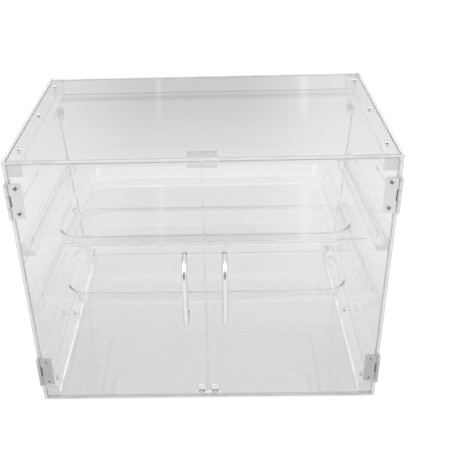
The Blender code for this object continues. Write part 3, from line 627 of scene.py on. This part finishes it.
# Trays: both alike, drawn down hot over a mould from one clear sheet, which leaves a deep recess with
# round corners, a flat flange, a turned-down rim, and slow ripples in the drawn skin. They lift out.
SHELF_SLOPE = math.radians(5.0)
TRAY_WALL = 0.0020
TRAY_RIM_DROP = 0.0050
TRAY_CORNER = 0.030
TRAY_SIDE_FLANGE = 0.038
TRAY_END_FLANGE = 0.026
TRAY_RECESS_DEPTH = 0.022
TRAY_RECESS_CORNER = 0.036
TRAY_DRAFT = 0.0095
TRAY_TOP_ROUND = 0.0030
TRAY_FLOOR_ROUND = 0.0060
TRAY_RIM_ROUND = 0.0018
TRAY_LEAST_CORNER = 0.004
TRAY_FLOOR_REACH = 0.020
TRAY_FLANGE_REACH = 0.008
TRAY_CORNER_STEPS = 16
TRAY_ROUND_STEPS = 7
TRAY_IOR = 1.36
TRAY_ROUGHNESS = 0.02
TRAY_TINT = (0.995, 0.995, 0.995)
TRAY_RIPPLE_TINT = (0.980, 0.980, 0.980)
RIPPLE_SCALE = 7.0
RIPPLE_STRETCH = (0.35, 1.6, 1.0)
RIPPLE_DETAIL = 1.0
RIPPLE_STRENGTH = 0.10
RIPPLE_HEIGHT = 0.004


def rounded_path(corners, radii, steps):
    """Line through corner points whose inner corners are rounded by arcs of the given radii."""
    corners = np.asarray(corners, float)
    path = [corners[:1]]
    for before, corner, after, radius in zip(corners, corners[1:], corners[2:], radii):
        back, ahead = (side / np.linalg.norm(side) for side in (before - corner, after - corner))
        half = np.arccos(np.clip(back @ ahead, -1.0, 1.0)) / 2
        middle = corner + (back + ahead) / np.linalg.norm(back + ahead) * radius / np.sin(half)
        first, last = (corner + way * radius / np.tan(half) - middle for way in (back, ahead))
        share = np.linspace(0.0, 1.0, steps)[:, None]
        spread = math.pi - 2 * half
        arc = (np.sin((1 - share) * spread) * first + np.sin(share * spread) * last) / np.sin(spread)
        path.append(middle + arc)
    path.append(corners[-1:])
    return np.concatenate(path)


def round_rectangles(half, front, rear, corner, heights):
    """Rings round rectangles with round corners: each quarter turns about its own corner's centre."""
    quarter = np.arange(4)[:, None]
    turn = (quarter + np.linspace(0.0, 1.0, TRAY_CORNER_STEPS)) * math.pi / 2
    to_right = np.array([1, -1, -1, 1])[:, None]
    at_rear = np.array([1, 1, 0, 0])[:, None]
    sizes = (half, front, rear, corner)
    half, front, rear, corner = (np.asarray(size, float)[:, None, None] for size in sizes)
    across = to_right * (half - corner) + corner * np.cos(turn)
    along = at_rear * (rear - corner) + (1 - at_rear) * (front + corner) + corner * np.sin(turn)
    rows = len(heights)
    level = np.asarray(heights, float)[:, None] * np.ones((1, turn.size))
    return np.stack([across.reshape(rows, -1), along.reshape(rows, -1), level], axis=-1)


def tray_skin(node_name):
    """Tray in its shelf's sloping frame, then tilted back into the case.

    A profile runs from the middle of the recess floor, up the wall, over the flange and down the rim,
    and the same way back under the skin at the wall's thickness. Each of its points makes a rectangle
    with round corners, drawn in from the recess's or the rim's outline by the point's inset.
    """
    cosine, sine = math.cos(SHELF_SLOPE), math.sin(SHELF_SLOPE)
    tilt = np.array([[1.0, 0.0, 0.0], [0.0, cosine, sine], [0.0, -sine, cosine]])
    count = len(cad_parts[node_name].data.vertices)
    corners = np.zeros(count * 3)
    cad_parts[node_name].data.vertices.foreach_get("co", corners)
    sloped = corners.reshape(-1, 3) @ tilt
    low, high = sloped.min(axis=0), sloped.max(axis=0)
    half, front, rear, top = high[0], low[1], high[1], high[2]
    wall, floor, foot = TRAY_WALL, top - TRAY_RECESS_DEPTH, top - TRAY_RIM_DROP
    under, floor_under = top - wall, floor - wall
    deep, flat = TRAY_DRAFT + TRAY_FLOOR_REACH, TRAY_FLANGE_REACH
    bowl = [(deep, floor), (TRAY_DRAFT, floor), (0.0, top), (-flat, top)]
    bowl_under = [(deep, floor_under), (TRAY_DRAFT - wall, floor_under), (-wall, under), (-flat, under)]
    rim = [(flat, top), (0.0, top), (0.0, foot)]
    rim_under = [(flat, under), (wall, under), (wall, foot)]
    upper = rounded_path(bowl, (TRAY_FLOOR_ROUND, TRAY_TOP_ROUND), TRAY_ROUND_STEPS)
    radii = (TRAY_FLOOR_ROUND - wall / 2, TRAY_TOP_ROUND + wall / 2)
    lower = rounded_path(bowl_under, radii, TRAY_ROUND_STEPS)
    edge = rounded_path(rim, (TRAY_RIM_ROUND + wall / 2,), TRAY_ROUND_STEPS)
    edge_under = rounded_path(rim_under, (TRAY_RIM_ROUND - wall / 4,), TRAY_ROUND_STEPS)
    profile = np.concatenate([upper, edge, edge_under[::-1], lower[::-1]])
    in_bowl = np.r_[np.ones(len(upper)), np.zeros(len(edge) + len(edge_under)), np.ones(len(lower))] > 0
    inset, heights = profile.T
    end_inset = np.where(in_bowl, TRAY_END_FLANGE + inset, inset)
    side_inset = np.where(in_bowl, TRAY_SIDE_FLANGE + inset, inset)
    corner = np.where(in_bowl, TRAY_RECESS_CORNER, TRAY_CORNER) - inset
    corner = np.maximum(corner, TRAY_LEAST_CORNER)
    rings = round_rectangles(half - side_inset, front + end_inset, rear - end_inset, corner, heights)
    middle = np.array([0.0, (front + rear) / 2])
    shape = (1, rings.shape[1], 3)
    ends = [np.broadcast_to(np.r_[middle, level], shape) for level in (floor, floor_under)]
    return closed_skin(np.concatenate([ends[0], rings, ends[1]]) @ tilt.T)


def tray_finish():
    """Clear drawn sheet: the ripples bend the light a little and cloud the tint."""
    material, graph, shader = start_finish("tray_plastic", TRAY_ROUGHNESS, transmission=1.0, ior=TRAY_IOR)
    ripple = clouds(graph, RIPPLE_SCALE, RIPPLE_STRETCH, RIPPLE_DETAIL)
    graph.join(shader.inputs["Base Color"], blend_colours(graph, ripple, TRAY_TINT, TRAY_RIPPLE_TINT))
    sockets = {"Strength": RIPPLE_STRENGTH, "Distance": RIPPLE_HEIGHT, "Height": ripple}
    graph.join(shader.inputs["Normal"], graph.node("ShaderNodeBump", None, sockets))
    return material


drawn_plastic = tray_finish()
for level in ("upper", "lower"):
    put_piece(f"{level}_drawn_tray", [tray_skin(f"{level}_tray")], drawn_plastic, f"{level}_tray_body",
              [f"{level}_tray"])

# Doors: two clear panels between the sides, sawn from the same sheet, drilled for the hinges, the handle
# and the strike.
door_sheet = clear_finish("door_sheet", "Y")
dress("door_left", door_sheet)
dress("door_right", door_sheet)

# Hinges: pressed steel butt hinges with a polished face. Each leaf is rolled round a pin, and two
# cross-drive screws hold it. The frame leaves lie outside the side panels, the others on the doors.
HINGE_COLOUR = (0.79, 0.79, 0.79)
HINGE_ROUGHNESS = 0.16
HINGE_GRAIN_SCALE = 260.0
HINGE_GRAIN_STRETCH = (6.0, 6.0, 0.5)
HINGE_GRAIN = 0.15
HINGE_LEAF_REACH = 0.0208
HINGE_LEAF_THICKNESS = 0.0012
HINGE_LEAF_CORNER = 0.0018
HINGE_LEAF_EASE = 0.00025
EASE_STEP_SHARE = 0.3
LEAF_SHARP_ANGLE = math.radians(15.0)
HINGE_HALF = 0.027
HINGE_SPLIT = 0.0090
HINGE_PLAY = 0.0002
KNUCKLE_OUTER = 0.0026
KNUCKLE_INNER = 0.00125
KNUCKLE_NECK = 0.0030
TONGUE_CORNER = 0.0004
CURL_SWEEP = math.radians(292.0)
CURL_CORNER = 0.0003
CURL_STEPS = 36
DOOR_LEAF_OFFSET = 0.0013
FRAME_LEAF_OFFSET = 0.0008
HINGE_SCREW_OUT = 0.0128
HINGE_SCREW_HALF_SPREAD = 0.0195
HINGE_HEAD_RADIUS = 0.0040
HINGE_HEAD_HEIGHT = 0.0018
HINGE_SHANK_RADIUS = 0.0014
HINGE_SHANK = 0.0058
PIN_RADIUS = 0.0010
PIN_HEAD_RADIUS = 0.0019
PIN_HEAD_HEIGHT = 0.0012
PIN_STEPS = 28
HEAD_ROUND_STEPS = 8


def slab_rings(low, high, corner, ease):
    """Flat plate between two corners, its outline a round-cornered rectangle with eased edges."""
    (left, front, bottom), (right, rear, top) = low, high
    step = ease * EASE_STEP_SHARE
    insets = np.array([ease, step, 0.0, 0.0, step, ease])
    levels = np.array([bottom, bottom + step, bottom + ease, top - ease, top - step, top])
    half, across, along = (right - left) / 2, (left + right) / 2, (front + rear) / 2
    rings = round_rectangles(half - insets, front + insets, rear - insets, corner - insets, levels)
    rings[..., 0] += across
    shape = (1, rings.shape[1], 3)
    ends = [np.broadcast_to([across, along, level], shape) for level in (bottom, top)]
    return np.concatenate([ends[0], rings, ends[1]])


def curl_rings(bottom, top):
    """Rolled knuckle: a round-cornered strip section carried along an arc about the pin."""
    half = (KNUCKLE_OUTER - KNUCKLE_INNER) / 2
    section = round_rectangles([half], [bottom], [top], [CURL_CORNER], [0.0])[0]
    radii = section[:, 0] + (KNUCKLE_OUTER + KNUCKLE_INNER) / 2
    sweep = math.pi / 2 + np.linspace(0.0, CURL_SWEEP, CURL_STEPS)[:, None]
    levels = np.ones_like(sweep) * section[:, 1]
    rings = np.stack([radii * np.cos(sweep), radii * np.sin(sweep), levels], axis=-1)
    ends = [np.broadcast_to(rings[row].mean(axis=0), (1, len(section), 3)) for row in (0, -1)]
    return np.concatenate([ends[0], rings, ends[1]])


def leaf_skins(line, height, reach_way, offset_way, offset, own_ranges):
    """Leaf with its knuckles: reach_way points along the plate, and offset_way from the pin to it."""
    axes = np.array([reach_way, offset_way, (0.0, 0.0, 1.0)], float)
    at = np.array([line[0], line[1], height])

    def carried(points):
        return closed_skin(points @ axes + at)

    upright = np.array([[1.0, 0.0, 0.0], [0.0, 0.0, 1.0], [0.0, 1.0, 0.0]])
    plate_low = (KNUCKLE_NECK, -HINGE_HALF, offset)
    plate_high = (HINGE_LEAF_REACH, HINGE_HALF, offset + HINGE_LEAF_THICKNESS)
    skins = [carried(slab_rings(plate_low, plate_high, HINGE_LEAF_CORNER, HINGE_LEAF_EASE) @ upright)]
    for bottom, top in own_ranges:
        tongue_low = (0.0, bottom, offset)
        tongue_high = (KNUCKLE_NECK + HINGE_LEAF_CORNER, top, offset + HINGE_LEAF_THICKNESS)
        skins.append(carried(slab_rings(tongue_low, tongue_high, TONGUE_CORNER, HINGE_LEAF_EASE) @ upright))
        skins.append(carried(curl_rings(bottom, top)))
    return skins


def turned_skin(profile, steps, at, outward):
    """Turn (radius, height) points about a line: the angle runs round it, the height along it."""
    radius, height = np.asarray(profile, float).T
    angle = np.linspace(0.0, math.tau, steps, endpoint=False)
    rings = np.stack([
        radius[:, None] * np.cos(angle),
        radius[:, None] * np.sin(angle),
        height[:, None] * np.ones_like(angle),
    ], axis=-1)
    return closed_skin(turn_to(rings, at, outward))


def domed(radius, base, height):
    """Profile points of a domed head, from its rim to the middle of its top."""
    angle = np.linspace(0.0, math.pi / 2, HEAD_ROUND_STEPS)
    points = np.column_stack([radius * np.cos(angle), base + height * np.sin(angle)])
    points[-1, 0] = 0.0
    return points.tolist()


hinge_finish = metal_finish(
    "hinge_steel", HINGE_COLOUR, HINGE_COLOUR, HINGE_ROUGHNESS, HINGE_GRAIN_SCALE, HINGE_GRAIN_STRETCH,
    HINGE_GRAIN)
for side, way in (("left", -1), ("right", 1)):
    for level in ("lower", "upper"):
        low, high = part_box(f"{level}_hinge_pin_{side}")
        line, height = ((low.x + high.x) / 2, (low.y + high.y) / 2), (low.z + high.z) / 2
        middle_range = [(-HINGE_SPLIT + HINGE_PLAY, HINGE_SPLIT - HINGE_PLAY)]
        end_ranges = [(-HINGE_HALF, -HINGE_SPLIT - HINGE_PLAY), (HINGE_SPLIT + HINGE_PLAY, HINGE_HALF)]
        leaves = {
            "door": ((-way, 0, 0), (0, 1, 0), DOOR_LEAF_OFFSET, middle_range, f"{side}_door", (0, -1, 0),
                     0.0),
            "frame": ((0, 1, 0), (way, 0, 0), FRAME_LEAF_OFFSET, end_ranges, "case", (way, 0, 0),
                      HINGE_LEAF_THICKNESS),
        }
        for word, (reach_way, offset_way, offset, ranges, body, outward, rise) in leaves.items():
            skins = leaf_skins(line, height, reach_way, offset_way, offset, ranges)
            node_name = f"{level}_hinge_{word}_leaf_{side}"
            put_piece(f"{level}_{word}_leaf_{side}", skins, hinge_finish, body, [node_name],
                      LEAF_SHARP_ANGLE)
            screws = []
            for end in (-1, 1):
                at = (np.array([*line, height + end * HINGE_SCREW_HALF_SPREAD])
                      + HINGE_SCREW_OUT * np.array(reach_way) + (offset + rise) * np.array(offset_way))
                turn = (end + way) * DRIVE_TURN_STEP
                screws.append(screw_skin(
                    HINGE_HEAD_RADIUS, HINGE_HEAD_HEIGHT, HINGE_SHANK_RADIUS, HINGE_SHANK,
                    at, outward, turn))
            put_piece(f"{level}_{word}_leaf_screws_{side}", screws, screw_finish, body)
        half = HINGE_HALF + HINGE_PLAY
        upper = [(PIN_RADIUS, half)] + domed(PIN_HEAD_RADIUS, half, PIN_HEAD_HEIGHT)
        pin_profile = [(radius, -rise) for radius, rise in reversed(upper)] + upper
        pin = turned_skin(pin_profile, PIN_STEPS, (*line, height), (0, 0, 1))
        node_name = f"{level}_hinge_pin_{side}"
        put_piece(f"{level}_pin_{side}", [pin], screw_finish, "case", [node_name])

# Handles: each is a chromed steel bar bent twice into a bow, with flat feet on the door. Two screws from
# inside the door run up into the feet.
HANDLE_COLOUR = (0.93, 0.93, 0.93)
HANDLE_ROUGHNESS = 0.33
HANDLE_GRAIN_SCALE = 300.0
HANDLE_GRAIN_STRETCH = (3.0, 3.0, 0.4)
HANDLE_GRAIN = 0.05
HANDLE_RADIUS = 0.0040
HANDLE_OUT = 0.0360
HANDLE_HALF = 0.0508
HANDLE_BEND = 0.0180
HANDLE_BEND_STEPS = 18
HANDLE_AROUND = 32
HANDLE_EASE = 0.0004
HANDLE_HEAD_RADIUS = 0.0038
HANDLE_HEAD_HEIGHT = 0.0022
HANDLE_SHANK_RADIUS = 0.0019
HANDLE_SHANK = 0.0130
HANDLE_SCREW_TURN = 20.0


def handle_skin(across, foot, height):
    """Round bar carried along the bow: straight out, a quarter turn, down, a quarter turn, back in."""
    corners = [(foot, HANDLE_HALF), (foot - HANDLE_OUT, HANDLE_HALF),
               (foot - HANDLE_OUT, -HANDLE_HALF), (foot, -HANDLE_HALF)]
    path = rounded_path(corners, (HANDLE_BEND, HANDLE_BEND), HANDLE_BEND_STEPS)
    along = np.gradient(path, axis=0)
    along[0], along[-1] = (-1.0, 0.0), (1.0, 0.0)
    along /= np.linalg.norm(along, axis=1)[:, None]
    inward = np.column_stack([-along[:, 1], along[:, 0]])
    rows = np.r_[0, 0, np.arange(len(path)), len(path) - 1, len(path) - 1]
    radii = np.full(len(rows), HANDLE_RADIUS)
    radii[[0, -1]] = 0.0
    radii[[1, -2]] -= HANDLE_EASE
    shift = np.zeros((len(rows), 2))
    shift[2], shift[-3] = (-HANDLE_EASE, 0.0), (-HANDLE_EASE, 0.0)
    angle = np.linspace(0.0, math.tau, HANDLE_AROUND, endpoint=False)
    centre = (path[rows] + shift)[:, None, :]
    side = radii[:, None] * np.cos(angle)
    plane = centre + (radii[:, None] * np.sin(angle))[..., None] * inward[rows][:, None, :]
    return closed_skin(np.stack([across + side, plane[..., 0], height + plane[..., 1]], axis=-1))


chrome = metal_finish(
    "handle_chrome", HANDLE_COLOUR, HANDLE_COLOUR, HANDLE_ROUGHNESS, HANDLE_GRAIN_SCALE,
    HANDLE_GRAIN_STRETCH, HANDLE_GRAIN)
for side in ("left", "right"):
    low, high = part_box(f"handle_{side}")
    middle = (low + high) / 2
    put_piece(f"bow_handle_{side}", [handle_skin(middle.x, high.y, middle.z)], chrome, f"{side}_door",
              [f"handle_{side}"])
    for level in ("upper", "lower"):
        node_name = f"{level}_handle_screw_{side}"
        low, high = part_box(node_name)
        middle = (low + high) / 2
        skin = screw_skin(HANDLE_HEAD_RADIUS, HANDLE_HEAD_HEIGHT, HANDLE_SHANK_RADIUS, HANDLE_SHANK,
                          (middle.x, high.y - HANDLE_HEAD_HEIGHT, middle.z), (0, 1, 0),
                          middle.z * HANDLE_SCREW_TURN)
        name = f"{level}_bow_screw_{side}"
        put_piece(name, [skin], screw_finish, f"{side}_door", [node_name])

# Door stop and catch: a clear block cemented under the top stops both doors. A clear block on the floor
# holds two nickel-plated magnets, which draw a riveted steel strike at the foot of each door.
MAGNET_COLOUR = (0.80, 0.79, 0.77)
MAGNET_ROUGHNESS = 0.20
MAGNET_GRAIN_SCALE = 500.0
STRIKE_SHANK_RADIUS = 0.0015
STRIKE_HEAD_RADIUS = 0.0032
STRIKE_HEAD_HEIGHT = 0.0016
STRIKE_PLATE_RADIUS = 0.0036
STRIKE_PLATE_THICKNESS = 0.0012
STRIKE_EASE = 0.0002
CATCH_STEPS = 36

dress("door_stop", bar_finish)
dress("catch_block", bar_finish)
nickel = metal_finish(
    "magnet_nickel", MAGNET_COLOUR, MAGNET_COLOUR, MAGNET_ROUGHNESS, MAGNET_GRAIN_SCALE, EVEN)
for side in ("left", "right"):
    dress(f"catch_magnet_{side}", nickel)
    low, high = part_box(f"strike_{side}")
    middle, under_head = (low + high) / 2, high.y - low.y - STRIKE_HEAD_HEIGHT
    profile = [
        (0.0, 0.0),
        (STRIKE_PLATE_RADIUS - STRIKE_EASE, 0.0),
        (STRIKE_PLATE_RADIUS, STRIKE_EASE),
        (STRIKE_PLATE_RADIUS, STRIKE_PLATE_THICKNESS),
        (STRIKE_SHANK_RADIUS, STRIKE_PLATE_THICKNESS),
        (STRIKE_SHANK_RADIUS, under_head),
        *domed(STRIKE_HEAD_RADIUS, under_head, STRIKE_HEAD_HEIGHT),
    ]
    rivet = turned_skin(profile, CATCH_STEPS, (middle.x, high.y, middle.z), (0, -1, 0))
    name, node_name = f"riveted_strike_{side}", f"strike_{side}"
    put_piece(name, [rivet], screw_finish, f"{side}_door", [node_name])

# Feet: four soft clear bumpers, stuck under the corners of the floor panel. They are domed, and flat
# where they stand.
FOOT_RADIUS = 0.0063
FOOT_BASE_RADIUS = 0.0048
FOOT_STEPS = 40
FOOT_PROFILE_STEPS = 9
FOOT_COLOUR = (0.93, 0.94, 0.93)
FOOT_CLOUDY_COLOUR = (0.86, 0.87, 0.86)
FOOT_CLOUD_SCALE = 120.0
FOOT_ROUGHNESS = 0.18
FOOT_CLEARNESS = 0.85
FOOT_IOR = 1.45


def foot_material():
    """Soft clear plastic, a little milky, with fine clouds in its tint."""
    material, graph, shader = start_finish(
        "foot_plastic", FOOT_ROUGHNESS, transmission=FOOT_CLEARNESS, ior=FOOT_IOR)
    milk = clouds(graph, FOOT_CLOUD_SCALE)
    graph.join(shader.inputs["Base Color"], blend_colours(graph, milk, FOOT_COLOUR, FOOT_CLOUDY_COLOUR))
    return material


foot_finish = foot_material()
for side in ("left", "right"):
    for end in ("front", "rear"):
        node_name = f"foot_{end}_{side}"
        low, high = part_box(node_name)
        middle, rise = (low + high) / 2, high.z - low.z
        angle = np.linspace(0.0, math.pi / 2, FOOT_PROFILE_STEPS)
        slump = np.column_stack([FOOT_BASE_RADIUS + (FOOT_RADIUS - FOOT_BASE_RADIUS) * np.sin(angle),
                                 rise * (1.0 - np.cos(angle))])
        profile = [(0.0, 0.0), *slump.tolist(), (0.0, rise)]
        bumper = turned_skin(profile, FOOT_STEPS, (middle.x, middle.y, low.z), (0, 0, 1))
        put_piece(f"bumper_{end}_{side}", [bumper], foot_finish, "case", [node_name])
